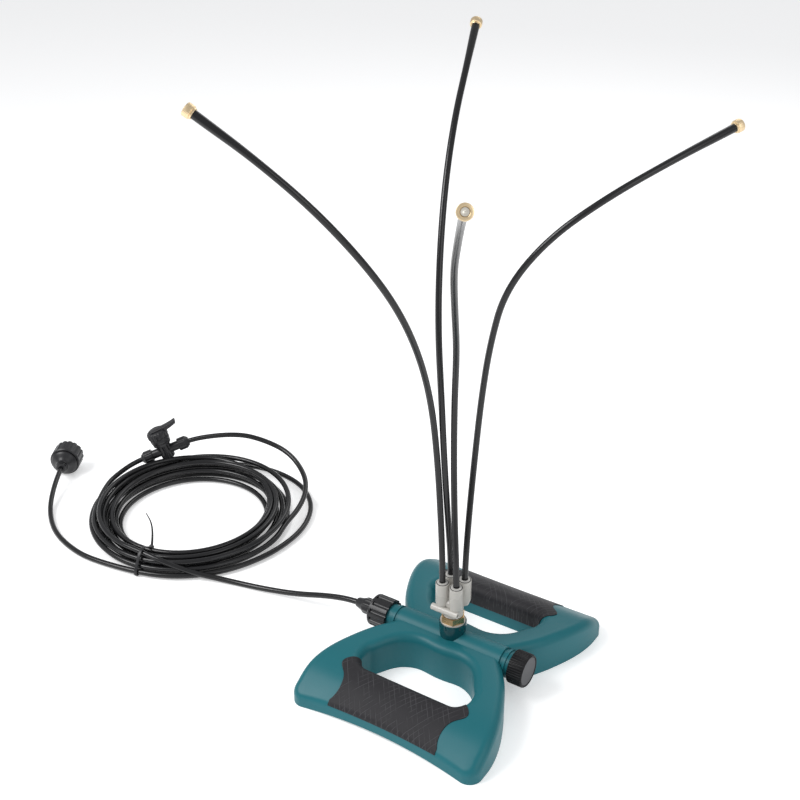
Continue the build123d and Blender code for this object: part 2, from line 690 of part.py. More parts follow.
def make_valve():
    """The shut-off valve: body, bonnet, plug, lever cap and a clamp nut at each end."""
    place = Location(valve_plane())
    sideways = Rot(0, 90, 0)
    body = sideways * drum(barrel_radius, -barrel_half_length, barrel_half_length)
    stem = drum(valve_stem_radius, valve_stem_low, bonnet_low + 1)
    ribs = [Rot(0, 0, 360 / valve_rib_count * step) * Pos(valve_stem_radius, 0, 0)
            * drum(0.9, valve_stem_low, bonnet_low + 1) for step in range(valve_rib_count)]
    body = body + stem + ribs
    body = body + drum(bonnet_radius, bonnet_low + 2, bonnet_top) + cone(valve_stem_radius, bonnet_radius,
                                                                         bonnet_low - 1, bonnet_low + 2)
    body = body - drum(plug_radius + 0.05, valve_stem_low + 2.5, bonnet_top + 1)
    body = body - sideways * drum(flow_bore, -barrel_half_length - 1, barrel_half_length + 1)
    save(place * body, "valve_body")

    plug_top = bonnet_top + 6
    plug = drum(plug_radius, valve_stem_low + 2.6, bonnet_top - 1.5)
    plug = plug + drum(plug_radius - 1.2, bonnet_top - 1.5, plug_top)
    plug = plug - sideways * drum(flow_bore, -plug_radius - 1, plug_radius + 1)
    groove_low = bonnet_low - 1
    plug = plug - drum(plug_radius + 1, groove_low, groove_low + 1.8, plug_radius - 1.2)
    save(place * plug, "valve_plug")
    ring = Pos(0, 0, groove_low + 0.9) * Torus(plug_radius - 0.58, 0.58)
    save(place * ring, "plug_o_ring")

    low = bonnet_top + 0.3
    top = low + lever_height
    lever = drum(lever_radius, low, top)
    lever = fillet(lever.edges().group_by(Axis.Z)[-1], 3.5)
    lever = ribbed(lever, lever_radius, 18, 0.4, low - 1, top - 3.4)
    arm = [(0, top - 3), (lever_reach, top + 2.5), (lever_reach, top - 0.5), (lever_radius, top - 5),
           (lever_radius - 3, low + 1), (0, low + 1)]
    arm_face = Plane.XZ * make_face(Polyline(arm, close=True))
    lever = lever + extrude(arm_face, lever_width / 2, both=True)
    lever = lever - drum(plug_radius - 1.15, low - 1, plug_top + 0.1)
    save(place * lever, "valve_lever")

    for name, side in (("right", 1), ("left", -1)):
        nut = drum(valve_nut_radius, valve_nut_start, valve_nut_end - 4)
        nut = nut + cone(valve_nut_radius, valve_nut_radius - 3, valve_nut_end - 4, valve_nut_end)
        nut = nut - drum(barrel_radius + 0.1, valve_nut_start - 1, barrel_half_length + 0.1)
        nut = nut - drum(tube_radius + 0.1, barrel_half_length, valve_nut_end + 1)
        nut = ribbed(nut, valve_nut_radius, 8, 0.9, valve_nut_start - 1, valve_nut_end - 5)
        save(place * Rot(0, 90 * side, 0) * nut, "valve_nut_" + name)


# ---- tap connector ----
def make_tap():
    """The coupling for the garden tap, lying on its side. Parts are drawn along +Z to its mouth."""
    place = Location(Plane(origin=(*tap_place, tap_radius), x_dir=(0, 0, 1), z_dir=tap_direction))
    nut = drum(tap_radius, -tap_half_length, tap_half_length)
    nut = chamfer(nut.edges().group_by(Axis.Z)[0], 1.2)
    nut = ribbed(nut, tap_radius, tap_rib_count, 1.0, -tap_half_length + 2.5, tap_half_length + 1)
    floor = -tap_half_length + nut_wall
    nut = nut - drum(pipe_radius + thread_clearance, floor, tap_half_length + 1)
    nut = nut - drum(pipe_radius + tap_relief, floor, floor + 0.3 + tail_flange + seal_thickness)
    nut = nut - drum(tail_radius + 0.25, -tap_half_length - 1, floor + 1)
    save(place * nut, "tap_nut")

    neck = -tap_half_length - 0.4
    cone_end = neck - tap_tail_length * 0.55
    end = neck - tap_tail_length
    tail = drum(pipe_radius - 0.3, floor + 0.1, floor + 0.1 + tail_flange)
    tail = tail + drum(tail_radius, neck, floor + 1)
    tail = tail + cone(7.0, tap_radius - 3.5, cone_end, neck)
    tail = tail + drum(5.6, end, cone_end)
    for low in (cone_end - 2.4, cone_end - 5.4):
        tail = tail + drum(6.8, low, low + 1.6)
    tail = tail - drum(tube_radius + 0.1, end - 1, neck - 4)
    tail = tail - drum(flow_bore, neck - 5, tap_half_length)
    save(place * tail, "tap_tail")
    washer_low = floor + 0.1 + tail_flange
    save(place * drum(pipe_radius - 0.3, washer_low, washer_low + seal_thickness, pipe_bore - 2), "tap_washer")
    return (place * Pos(0, 0, neck - 4)).position, (place * Pos(0, 0, end)).position


# ---- coil and cable tie ----
def coil_section_place():
    """The middle of the coil's section, at the tie."""
    middle = (coil_inner + coil_outer) / 2
    height = tie_thickness + 2 * tie_gap + coil_half_height
    centre = Pos(coil_centre[0], coil_centre[1], height)
    return centre * Rot(0, 0, tie_angle) * Pos(middle, 0, 0)


def make_coil():
    """The tied turns as one ring of their outer shape, and the cable tie round them."""
    middle = (coil_inner + coil_outer) / 2
    half_width = (coil_outer - coil_inner) / 2
    height = tie_thickness + 2 * tie_gap + coil_half_height
    section = Pos(middle, 0) * Ellipse(half_width, coil_half_height)
    ring = revolve(Plane.XZ * section, Axis.Z)
    save(Pos(coil_centre[0], coil_centre[1], height) * ring, "hose_coil")

    place = coil_section_place()
    inner = Ellipse(half_width + tie_gap, coil_half_height + tie_gap)
    outer = Ellipse(half_width + tie_gap + tie_thickness, coil_half_height + tie_gap + tie_thickness)
    strap = extrude(Plane.XZ * (outer - inner), tie_width / 2, both=True)
    head_x = -half_width * 0.72
    head_z = coil_half_height * 0.72 + 1
    head = Pos(head_x, 0, head_z + 2) * Rot(0, -38, 0) * Box(5.4, 5.0, 4.6)
    clear = extrude(Plane.XZ * inner, 4, both=True)
    rise = Spline([(head_x - 1, head_z + 3), (head_x - tie_tail_reach * 0.5, head_z + tie_tail_height * 0.45),
                   (head_x - tie_tail_reach, head_z + tie_tail_height)])
    start = Plane(origin=Plane.XZ.from_local_coords(rise @ 0), z_dir=Plane.XZ.from_local_coords(rise % 0),
                  x_dir=(0, 1, 0))
    tail = sweep(start * Rectangle(tie_width - 1, tie_thickness), path=Plane.XZ * rise)
    tie = (strap + head + tail) - clear
    save(place * tie, "cable_tie")


# ---- hoses ----
def make_hoses(feed_start, feed_exit, tap_seat, tap_exit):
    """The stretches of hose that aren't coiled."""
    valve = valve_plane()
    exit_x = valve_nut_end + straight_exit
    tap_out = Vector(*tap_direction).normalized() * -straight_exit
    loop_start = loose_loop_route[0]
    starts = {
        "feed_hose": (Vector(feed_start, 0, pipe_height),
                      Vector(feed_exit - straight_exit / 2, 0, pipe_height), feed_route),
        "supply_hose": (tap_seat, tap_exit + tap_out, supply_route),
        "valve_loop_hose": (valve.from_local_coords(Vector(barrel_half_length, 0, 0)),
                            valve.from_local_coords(Vector(exit_x, 0, 0)), valve_loop_route),
        "valve_tail_hose": (valve.from_local_coords(Vector(-barrel_half_length, 0, 0)),
                            valve.from_local_coords(Vector(-exit_x, 0, 0)), valve_tail_route),
        "loose_loop_hose": (Vector(*loop_start), Vector(*loose_loop_route[1]), loose_loop_route[2:]),
    }
    for name, (start, second, route) in starts.items():
        hose, path = tube_solid([tuple(start), tuple(second)] + list(route), name)
        save(hose, name)


make_base()
make_pipe()
clip_low, hex_top = make_riser()
make_manifold(clip_low, hex_top)
make_tubes()
make_end_cap()
feed_start, feed_exit = make_inlet()
make_valve()
tap_seat, tap_exit = make_tap()
make_coil()
make_hoses(feed_start, feed_exit, tap_seat, tap_exit)
print("feed hose leaves at x", round(feed_exit, 2), "supply hose leaves at", tap_exit)
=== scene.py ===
import json
import math

import bmesh
import bpy
from mathutils import Matrix, Vector


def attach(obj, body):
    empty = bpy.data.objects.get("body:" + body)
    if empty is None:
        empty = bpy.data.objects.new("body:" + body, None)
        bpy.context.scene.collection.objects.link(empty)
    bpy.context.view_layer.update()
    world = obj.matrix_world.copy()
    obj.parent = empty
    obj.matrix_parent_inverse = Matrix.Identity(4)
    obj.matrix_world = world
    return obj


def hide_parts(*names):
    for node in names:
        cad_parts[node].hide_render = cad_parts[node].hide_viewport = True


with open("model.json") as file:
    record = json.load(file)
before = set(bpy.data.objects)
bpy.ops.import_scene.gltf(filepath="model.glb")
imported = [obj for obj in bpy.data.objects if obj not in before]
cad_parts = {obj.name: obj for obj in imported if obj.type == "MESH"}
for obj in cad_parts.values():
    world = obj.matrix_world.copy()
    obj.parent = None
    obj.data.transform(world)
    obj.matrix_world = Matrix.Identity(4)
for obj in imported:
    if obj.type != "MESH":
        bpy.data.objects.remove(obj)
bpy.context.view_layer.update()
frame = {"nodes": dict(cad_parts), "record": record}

nodes = frame["nodes"]
mm = 0.001
print("frame loaded:", len(nodes), "nodes")


# camera, floor and light, in metres and degrees
cameraSetup = {
    "place": (0.4938, -0.8356, 0.8128),
    "pitch": 27.55,       # degrees below level
    "yaw": 33.66,         # degrees from +Y towards -X
    "roll": -0.3,
    "lens": 54.0,
    "sensor": 36.0,
}


def makeCamera(setup):
    data = bpy.data.cameras.new("Camera")
    data.lens = setup["lens"]
    data.sensor_width = setup["sensor"]
    camera = bpy.data.objects.new("Camera", data)
    bpy.context.scene.collection.objects.link(camera)
    turn = Matrix.Rotation(math.radians(setup["yaw"]), 4, "Z")
    turn = turn @ Matrix.Rotation(math.radians(90 - setup["pitch"]), 4, "X")
    turn = turn @ Matrix.Rotation(math.radians(setup["roll"]), 4, "Z")
    camera.matrix_world = Matrix.Translation(setup["place"]) @ turn
    bpy.context.scene.camera = camera


studio = {
    "floorSize": 30.0,
    "floorColour": (0.93, 0.93, 0.93, 1),
    "floorRoughness": 0.9,
    "floorGlow": 0.38,          # keeps the far floor as pale as the near floor
    "worldColour": (0.97, 0.98, 1.0, 1),
    "worldStrength": 0.52,
    "lamps": [
        # name, place, aimed at, size, power
        ("KeyLamp", (-1.3, -1.3, 1.9), (-0.1, 0.0, 0.1), 1.2, 40),
        ("FillLamp", (1.7, -0.4, 1.2), (0.0, 0.0, 0.2), 1.4, 9),
        ("BackLamp", (-0.4, 1.9, 1.7), (-0.1, 0.0, 0.1), 1.2, 8),
    ],
}


def makeStudio(setup):
    floorMesh = bpy.data.meshes.new("Floor")
    bm = bmesh.new()
    bmesh.ops.create_grid(bm, x_segments=1, y_segments=1, size=setup["floorSize"] / 2)
    bm.to_mesh(floorMesh)
    bm.free()
    floor = bpy.data.objects.new("Floor", floorMesh)
    bpy.context.scene.collection.objects.link(floor)
    paper = bpy.data.materials.new("paleFloor")
    paper.use_nodes = True
    shader = paper.node_tree.nodes["Principled BSDF"]
    shader.inputs["Base Color"].default_value = setup["floorColour"]
    shader.inputs["Roughness"].default_value = setup["floorRoughness"]
    shader.inputs["Emission Color"].default_value = setup["floorColour"]
    shader.inputs["Emission Strength"].default_value = setup["floorGlow"]
    floorMesh.materials.append(paper)
    world = bpy.data.worlds.new("Studio")
    bpy.context.scene.world = world
    world.use_nodes = True
    sky = world.node_tree.nodes["Background"]
    sky.inputs["Color"].default_value = setup["worldColour"]
    sky.inputs["Strength"].default_value = setup["worldStrength"]
    for name, place, target, size, power in setup["lamps"]:
        lamp = bpy.data.lights.new(name, "AREA")
        lamp.size = size
        lamp.energy = power
        holder = bpy.data.objects.new(name, lamp)
        bpy.context.scene.collection.objects.link(holder)
        aim = (Vector(target) - Vector(place)).to_track_quat("-Z", "Y").to_matrix().to_4x4()
        holder.matrix_world = Matrix.Translation(place) @ aim


makeCamera(cameraSetup)
makeStudio(studio)
bpy.context.scene.view_settings.view_transform = "Standard"
print("camera and studio")


def addNode(tree, kind, inputs=None, **settings):
    node = tree.nodes.new(kind)
    for key, value in settings.items():
        setattr(node, key, value)
    for key, value in (inputs or {}).items():
        if isinstance(value, bpy.types.NodeSocket):
            tree.links.new(value, node.inputs[key])
        else:
            node.inputs[key].default_value = value
    return node


def newGroup(name, values, results):
    # an empty shader group that takes a vector and values, and gives results
    group = bpy.data.node_groups.new(name, "ShaderNodeTree")
    group.interface.new_socket("Vector", in_out="INPUT", socket_type="NodeSocketVector")
    for value in values:
        group.interface.new_socket(value, in_out="INPUT", socket_type="NodeSocketFloat")
    for result in results:
        group.interface.new_socket(result, in_out="OUTPUT", socket_type="NodeSocketFloat")
    return group, group.nodes.new("NodeGroupInput"), group.nodes.new("NodeGroupOutput")


def makeGrainGroup():
    # fine moulded grain: a height for bump and a slow mask for tint and gloss
    group, start, end = newGroup("mouldGrain", ["Grain Scale", "Patch Scale"], ["Height", "Patches"])
    fine = addNode(group, "ShaderNodeTexNoise", {"Vector": start.outputs["Vector"],
                                                 "Scale": start.outputs["Grain Scale"],
                                                 "Detail": 3.0, "Roughness": 0.6})
    slow = addNode(group, "ShaderNodeTexNoise", {"Vector": start.outputs["Vector"],
                                                 "Scale": start.outputs["Patch Scale"],
                                                 "Detail": 4.0, "Roughness": 0.55})
    group.links.new(fine.outputs["Fac"], end.inputs["Height"])
    group.links.new(slow.outputs["Fac"], end.inputs["Patches"])
    return group


def makeScuffGroup():
    # thin scattered rub marks, for gloss
    group, start, end = newGroup("rubMarks", ["Scale"], ["Marks"])
    stretch = addNode(group, "ShaderNodeMapping", {"Vector": start.outputs["Vector"],
                                                   "Rotation": (0.4, 0.2, 0.7),
                                                   "Scale": (1.0, 7.0, 1.0)})
    noise = addNode(group, "ShaderNodeTexNoise", {"Vector": stretch.outputs["Vector"],
                                                  "Scale": start.outputs["Scale"],
                                                  "Detail": 6.0, "Roughness": 0.7})
    sharp = addNode(group, "ShaderNodeMapRange", {"Value": noise.outputs["Fac"], "From Min": 0.62,
                                                  "From Max": 0.74})
    group.links.new(sharp.outputs["Result"], end.inputs["Marks"])
    return group


mouldGrain = makeGrainGroup()
rubMarks = makeScuffGroup()


plasticSurface = {
    "patchScale": 18.0,       # slow patches of tint and gloss
    "bumpDepth": 0.0004,      # metres
    "markScale": 60.0,
    "markGloss": 0.05,        # roughness that a rub mark adds
}
metalSurface = {"patchScale": 120.0, "bumpDepth": 0.0002}


def mixColours(tree, share, first, second):
    # a colour between two, each a plain colour or a socket
    mix = addNode(tree, "ShaderNodeMix", {"Factor": share, 6: first, 7: second}, data_type="RGBA")
    return mix.outputs[2]


def grainedMaterial(name, look, surface):
    # two close tints in slow patches, which change the gloss too, and fine grain in the bump
    material = bpy.data.materials.new(name)
    material.use_nodes = True
    tree = material.node_tree
    shader = tree.nodes["Principled BSDF"]
    place = addNode(tree, "ShaderNodeTexCoord")
    grain = addNode(tree, "ShaderNodeGroup", node_tree=mouldGrain)
    tree.links.new(place.outputs["Object"], grain.inputs["Vector"])
    grain.inputs["Grain Scale"].default_value = look["grainScale"]
    grain.inputs["Patch Scale"].default_value = look.get("patchScale", surface["patchScale"])
    patches = grain.outputs["Patches"]
    tint = mixColours(tree, patches, (*look["dark"], 1), (*look["light"], 1))
    tree.links.new(tint, shader.inputs["Base Color"])
    low, high = look["roughness"]
    gloss = addNode(tree, "ShaderNodeMapRange", {"Value": patches, "From Min": 0.3, "From Max": 0.7,
                                                 "To Min": low, "To Max": high})
    tree.links.new(gloss.outputs["Result"], shader.inputs["Roughness"])
    bump = addNode(tree, "ShaderNodeBump", {"Height": grain.outputs["Height"],
                                            "Strength": look["bump"],
                                            "Distance": surface["bumpDepth"]})
    tree.links.new(bump.outputs["Normal"], shader.inputs["Normal"])
    return material


def plasticMaterial(name, look):
    # moulded plastic or rubber, with faint rub marks in its gloss
    material = grainedMaterial(name, look, plasticSurface)
    tree = material.node_tree
    shader = tree.nodes["Principled BSDF"]
    place = addNode(tree, "ShaderNodeTexCoord")
    marks = addNode(tree, "ShaderNodeGroup", node_tree=rubMarks)
    tree.links.new(place.outputs["Object"], marks.inputs["Vector"])
    marks.inputs["Scale"].default_value = plasticSurface["markScale"]
    gloss = shader.inputs["Roughness"].links[0].from_socket
    worn = addNode(tree, "ShaderNodeMath", {0: marks.outputs["Marks"],
                                            1: plasticSurface["markGloss"], 2: gloss},
                   operation="MULTIPLY_ADD")
    tree.links.new(worn.outputs["Value"], shader.inputs["Roughness"])
    shader.inputs["Specular IOR Level"].default_value = look["specular"]
    return material


def metalMaterial(name, look):
    # turned metal with fine grain and a slow tarnish
    material = grainedMaterial(name, look, metalSurface)
    material.node_tree.nodes["Principled BSDF"].inputs["Metallic"].default_value = 1.0
    return material


wavePeriod = math.pi / 10      # of a wave texture at a scale of 1
gripHatch = {
    "angles": (38.0, -38.0),   # degrees from the handle's length
    "pitch": 0.0048,           # metres between lines
    "lineFrom": 0.93,          # height of the wave where a line starts: nearer 1 is thinner
    "stretch": 0.35,           # patches where lines show are drawn out along them by 1 / this
    "patchScale": 130.0,
    "fade": (0.42, 0.6),       # patch values where lines start to show and show fully
    "bump": 0.6,
    "bumpDepth": 0.0004,       # metres
}


def hatchLines(tree, place, angle, hatch):
    # a mask of thin parallel lines that fade in and out
    turn = addNode(tree, "ShaderNodeMapping", {"Vector": place, "Rotation": (0, 0, math.radians(angle))})
    wave = addNode(tree, "ShaderNodeTexWave", {"Vector": turn.outputs["Vector"],
                                               "Scale": wavePeriod / hatch["pitch"],
                                               "Distortion": 0.0}, bands_direction="X")
    line = addNode(tree, "ShaderNodeMapRange", {"Value": wave.outputs["Fac"],
                                                "From Min": hatch["lineFrom"], "From Max": 1.0})
    long = addNode(tree, "ShaderNodeMapping", {"Vector": turn.outputs["Vector"],
                                               "Scale": (1.0, hatch["stretch"], 1.0)})
    patch = addNode(tree, "ShaderNodeTexNoise", {"Vector": long.outputs["Vector"],
                                                 "Scale": hatch["patchScale"], "Detail": 1.0})
    fade = addNode(tree, "ShaderNodeMapRange", {"Value": patch.outputs["Fac"],
                                                "From Min": hatch["fade"][0],
                                                "From Max": hatch["fade"][1]})
    shown = addNode(tree, "ShaderNodeMath", {0: line.outputs["Result"], 1: fade.outputs["Result"]},
                    operation="MULTIPLY")
    return shown.outputs["Value"]


def gripMaterial(name, look, hatch):
    # black rubber with two crossing sets of thin raised lines, paler than the rubber
    material = plasticMaterial(name, look)
    tree = material.node_tree
    shader = tree.nodes["Principled BSDF"]
    place = addNode(tree, "ShaderNodeTexCoord").outputs["Object"]
    one, other = (hatchLines(tree, place, angle, hatch) for angle in hatch["angles"])
    lines = addNode(tree, "ShaderNodeMath", {0: one, 1: other}, operation="MAXIMUM").outputs["Value"]
    base = shader.inputs["Base Color"].links[0].from_socket
    tree.links.new(mixColours(tree, lines, base, (*look["line"], 1)), shader.inputs["Base Color"])
    under = shader.inputs["Normal"].links[0].from_socket
    raised = addNode(tree, "ShaderNodeBump", {"Height": lines, "Strength": hatch["bump"],
                                              "Distance": hatch["bumpDepth"], "Normal": under})
    tree.links.new(raised.outputs["Normal"], shader.inputs["Normal"])
    return material


# linear colours, and the range of roughness from patch to patch
looks = {
    "shellTeal": {"dark": (0.009, 0.121, 0.145), "light": (0.013, 0.140, 0.167), "roughness": (0.36, 0.44),
                  "grainScale": 1500.0, "bump": 0.10, "specular": 0.25},
    "riserTeal": {"dark": (0.002, 0.050, 0.061), "light": (0.003, 0.062, 0.075), "roughness": (0.16, 0.24),
                  "grainScale": 900.0, "bump": 0.04, "specular": 0.4},
    "gripRubber": {"dark": (0.016, 0.015, 0.018), "light": (0.026, 0.025, 0.028), "roughness": (0.52, 0.62),
                   "grainScale": 2200.0, "bump": 0.25, "line": (0.062, 0.061, 0.066), "specular": 0.25},
    "blackPlastic": {"dark": (0.010, 0.010, 0.012), "light": (0.017, 0.017, 0.019),
                     "roughness": (0.28, 0.40), "grainScale": 1800.0, "bump": 0.12, "specular": 0.42},
    "hoseBlack": {"dark": (0.006, 0.006, 0.007), "light": (0.010, 0.010, 0.011), "roughness": (0.20, 0.27),
                  "grainScale": 900.0, "bump": 0.03, "patchScale": 30.0, "specular": 0.42},
    "capBlack": {"dark": (0.008, 0.008, 0.009), "light": (0.013, 0.013, 0.014), "roughness": (0.30, 0.40),
                 "grainScale": 1800.0, "bump": 0.10, "specular": 0.16},
    "discGrey": {"dark": (0.038, 0.038, 0.043), "light": (0.048, 0.048, 0.054), "roughness": (0.42, 0.5),
                 "grainScale": 1500.0, "bump": 0.08, "specular": 0.5},
    "portWhite": {"dark": (0.47, 0.455, 0.42), "light": (0.54, 0.52, 0.485), "roughness": (0.24, 0.32),
                  "grainScale": 1200.0, "bump": 0.05, "specular": 0.5},
    "collarWhite": {"dark": (0.44, 0.43, 0.405), "light": (0.51, 0.50, 0.475), "roughness": (0.26, 0.34),
                    "grainScale": 1200.0, "bump": 0.05, "specular": 0.5},
    "sealRubber": {"dark": (0.014, 0.014, 0.014), "light": (0.022, 0.022, 0.022), "roughness": (0.5, 0.6),
                   "grainScale": 1500.0, "bump": 0.1, "specular": 0.5},
}
metals = {
    "brassPale": {"dark": (0.86, 0.80, 0.68), "light": (0.95, 0.91, 0.82), "roughness": (0.22, 0.32),
                  "grainScale": 2500.0, "bump": 0.05},
    "brassLight": {"dark": (0.76, 0.57, 0.33), "light": (0.92, 0.75, 0.50), "roughness": (0.30, 0.42),
                   "grainScale": 2500.0, "bump": 0.08},
    "brassTurned": {"dark": (0.50, 0.32, 0.15), "light": (0.72, 0.51, 0.28), "roughness": (0.20, 0.34),
                    "grainScale": 2500.0, "bump": 0.08},
    "steelPlated": {"dark": (0.50, 0.50, 0.52), "light": (0.62, 0.62, 0.64), "roughness": (0.25, 0.38),
                    "grainScale": 2500.0, "bump": 0.06},
}
finishes = {name: plasticMaterial(name, look) for name, look in looks.items() if name != "gripRubber"}
finishes.update({name: metalMaterial(name, look) for name, look in metals.items()})
finishes["gripRubber"] = gripMaterial("gripRubber", looks["gripRubber"], gripHatch)
print("materials:", len(finishes))


# the two hoses of the coil, in millimetres but for the diameter
hose = {
    "diameter": 0.00635,    # metres
    "coilCentre": (-408, 58),
    "tieAngle": -78.0,
    "step": 20.0,           # degrees between the points of a turn
    "fan": 0.62,            # how far turns spread out away from the tie
    "fanRadius": 101,       # the turn that stays in place as the others spread
    "wander": 3.4,          # how far each turn strays in and out
    "wanderShift": 2.1,     # radians from the straying of one turn to the next
    "wanderLength": 75,     # degrees of winding for a radian of straying
    "lift": 0.62,           # how much the upper turns rise away from the tie
    "lowestRow": 4.6,       # height of the turns that don't rise
}

# routes away from the base and away from the valve
feedStart = [(-106, 0, 31), (-123, 0, 31), (-156, -1, 24), (-200, -4, 10), (-245, -10, 3.4),
             (-288, -20, 3.4), (-326, -36, 9), (-358, -48, 19)]
# passes under the tie: radius, height, and the hump on the way to the next one
feedPasses = [(110, 23, 0), (92, 10.2, 0), (101.5, 10.2, 0), (111, 10.2, 1), (96, 16, 1),
              (105.5, 16, 1), (115, 16, 0)]
feedWinding = (0, 360 * 6 + 60)     # degrees past the tie, at the start and at the end
feedEnd = [(-537, 40, 16), (-540, 66, 19), (-535.7, 90.3, 24.3), (-524.4, 101.6, 29.7)]

supplyStart = [(-489.6, 136.4, 46.3), (-478.9, 147.1, 51.4), (-433, 176, 58), (-401, 190, 52),
               (-364, 196, 42), (-328, 181, 29), (-308, 157, 21), (-297, 126, 16), (-292, 94, 15)]
supplyPasses = [(120, 10, 6), (88, 4.6, 0), (97, 4.6, 0), (106, 4.6, 0), (115, 4.6, 0), (124.5, 5, 0)]
supplyWinding = (-80, 360 * 5)
supplyEnd = [(-448, -75, 3.5), (-486, -71, 3.4), (-524, -59, 3.4), (-559, -36, 3.4), (-583, -11, 9),
             (-606, 23.7, 19), (-619.0, 45.0, 19)]
# the pass of the supply hose that swells out of the coil, on both sides of an angle
looseTurn = {"pass": 5, "angle": 52.0, "spread": 70.0, "reach": 16.0}


def swellOf(loose, angle):
    # how far a loose turn stands out at an angle
    offset = (angle - loose["angle"] + 180) % 360 - 180
    if abs(offset) >= loose["spread"]:
        return 0
    return loose["reach"] * math.cos(math.radians(offset * 90 / loose["spread"])) ** 2


def coilPoint(setup, passes, travel, loose):
    # one point of the coil, at some degrees of winding past the tie
    turn = max(travel / 360, 0)
    index = min(int(turn), len(passes) - 2)
    part = min(turn - index, 1)
    smooth = part * part * (3 - 2 * part)
    first, second = passes[index], passes[index + 1]
    radius = first[0] + (second[0] - first[0]) * smooth
    height = first[1] + (second[1] - first[1]) * smooth + first[2] * math.sin(math.pi * part)
    away = math.sin(math.radians(travel) / 2) ** 2      # 0 at the tie, 1 across from it
    stray = math.sin(setup["wanderShift"] * index + travel / setup["wanderLength"])
    radius += away * (setup["fan"] * (radius - setup["fanRadius"]) + setup["wander"] * stray)
    height += away * setup["lift"] * (height - setup["lowestRow"])
    angle = setup["tieAngle"] - travel
    if loose and index == loose["pass"] - 1:
        radius += swellOf(loose, angle)
    radius /= math.cos(math.radians(setup["step"] / 2))     # the curve cuts inside its points
    turned = math.radians(angle)
    return Vector((radius * math.cos(turned), radius * math.sin(turned), height))


def coilPoints(setup, passes, winding, loose=None):
    # turns that go clockwise, seen from above
    centre = Vector((*setup["coilCentre"], 0))
    points = []
    travel, end = winding
    while travel <= end + 0.001:
        points.append(centre + coilPoint(setup, passes, travel, loose))
        travel += setup["step"]
    return points


def hoseCurve(name, points, diameter):
    data = bpy.data.curves.new(name, "CURVE")
    data.dimensions = "3D"
    data.resolution_u = 8
    data.bevel_depth = diameter / 2
    data.bevel_resolution = 5
    data.use_fill_caps = True
    spline = data.splines.new("NURBS")
    spline.points.add(len(points) - 1)
    for point, place in zip(spline.points, points):
        point.co = (*(Vector(place) * mm), 1)
    spline.order_u = 3
    spline.use_endpoint_u = True
    spline.use_smooth = True
    piece = bpy.data.objects.new(name, data)
    bpy.context.scene.collection.objects.link(piece)
    data.materials.append(finishes["hoseBlack"])
    return piece


def meshFromCurve(data):
    # the mesh that a curve is drawn as
    holder = bpy.data.objects.new(data.name, data)
    bpy.context.scene.collection.objects.link(holder)
    shown = holder.evaluated_get(bpy.context.evaluated_depsgraph_get())
    mesh = bpy.data.meshes.new_from_object(shown)
    bpy.data.objects.remove(holder)
    return mesh


def lineLength(piece):
    # the length of a curve's own line
    bare = piece.data.copy()
    bare.bevel_depth = 0
    mesh = meshFromCurve(bare)
    total = 0
    for edge in mesh.edges:
        first, second = (mesh.vertices[index].co for index in edge.vertices)
        total += (first - second).length
    bpy.data.meshes.remove(mesh)
    bpy.data.curves.remove(bare)
    return total


feedLine = feedStart + coilPoints(hose, feedPasses, feedWinding) + feedEnd
feedHose = hoseCurve("FeedHose", feedLine, hose["diameter"])
supplyLine = supplyStart + coilPoints(hose, supplyPasses, supplyWinding, looseTurn) + supplyEnd
supplyHose = hoseCurve("SupplyHose", supplyLine, hose["diameter"])
print("hose lengths:", round(lineLength(feedHose), 3), round(lineLength(supplyHose), 3))


# the four upright tubes: control points in millimetres, above the straight stretch in each port
tubeSeat = 87               # height of a tube's lower end, inside its port
straightTop = 118
portHalf = 8                # from the riser's axis to a port's, in X and in Y
tubeRoutes = {
    "left": [(-16, 1, 166), (-26, 10, 225), (-30, 5, 289), (-28, -19, 350), (-29, -52, 408),
             (-41, -85, 459), (-69, -115, 509), (-109, -137, 549), (-154, -150, 579)],
    "rear": [(-13, 9, 166), (-20, 12, 228), (-26, 15, 294), (-35, 22, 361), (-47, 43, 425),
             (-62, 76, 483), (-78, 118, 531), (-93, 163, 568), (-110, 207, 595)],
    "front": [(-3, 5, 166), (-13, 18, 225), (-16, 22, 290), (-5, 6, 353), (14, -31, 412),
              (35, -69, 463), (62, -108, 506), (92, -153, 542), (124, -205, 566)],
    "right": [(1, 25, 166), (-6, 46, 223), (-4, 52, 285), (4, 51, 344), (18, 50, 401),
              (50, 64, 451), (90, 95, 488), (128, 148, 515), (157, 207, 533)],
}
tubeFlare = 1.26            # where a tube is pushed over its nozzle's barb
barbLength = 11
portSigns = {"left": (-1, -1), "rear": (-1, 1), "front": (1, -1), "right": (1, 1)}
for side, route in tubeRoutes.items():
    x, y = (portHalf * sign for sign in portSigns[side])
    tip, before = Vector(route[-1]), Vector(route[-2])
    flareStart = tip + (before - tip).normalized() * barbLength
    line = [(x, y, tubeSeat), (x, y, straightTop)] + route[:-1] + [flareStart, route[-1]]
    tube = hoseCurve("Tube_" + side, line, hose["diameter"])
    for point in tube.data.splines[0].points[-2:]:
        point.radius = tubeFlare
    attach(tube, "head")
    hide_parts("tube_" + side)
print("upright tubes")


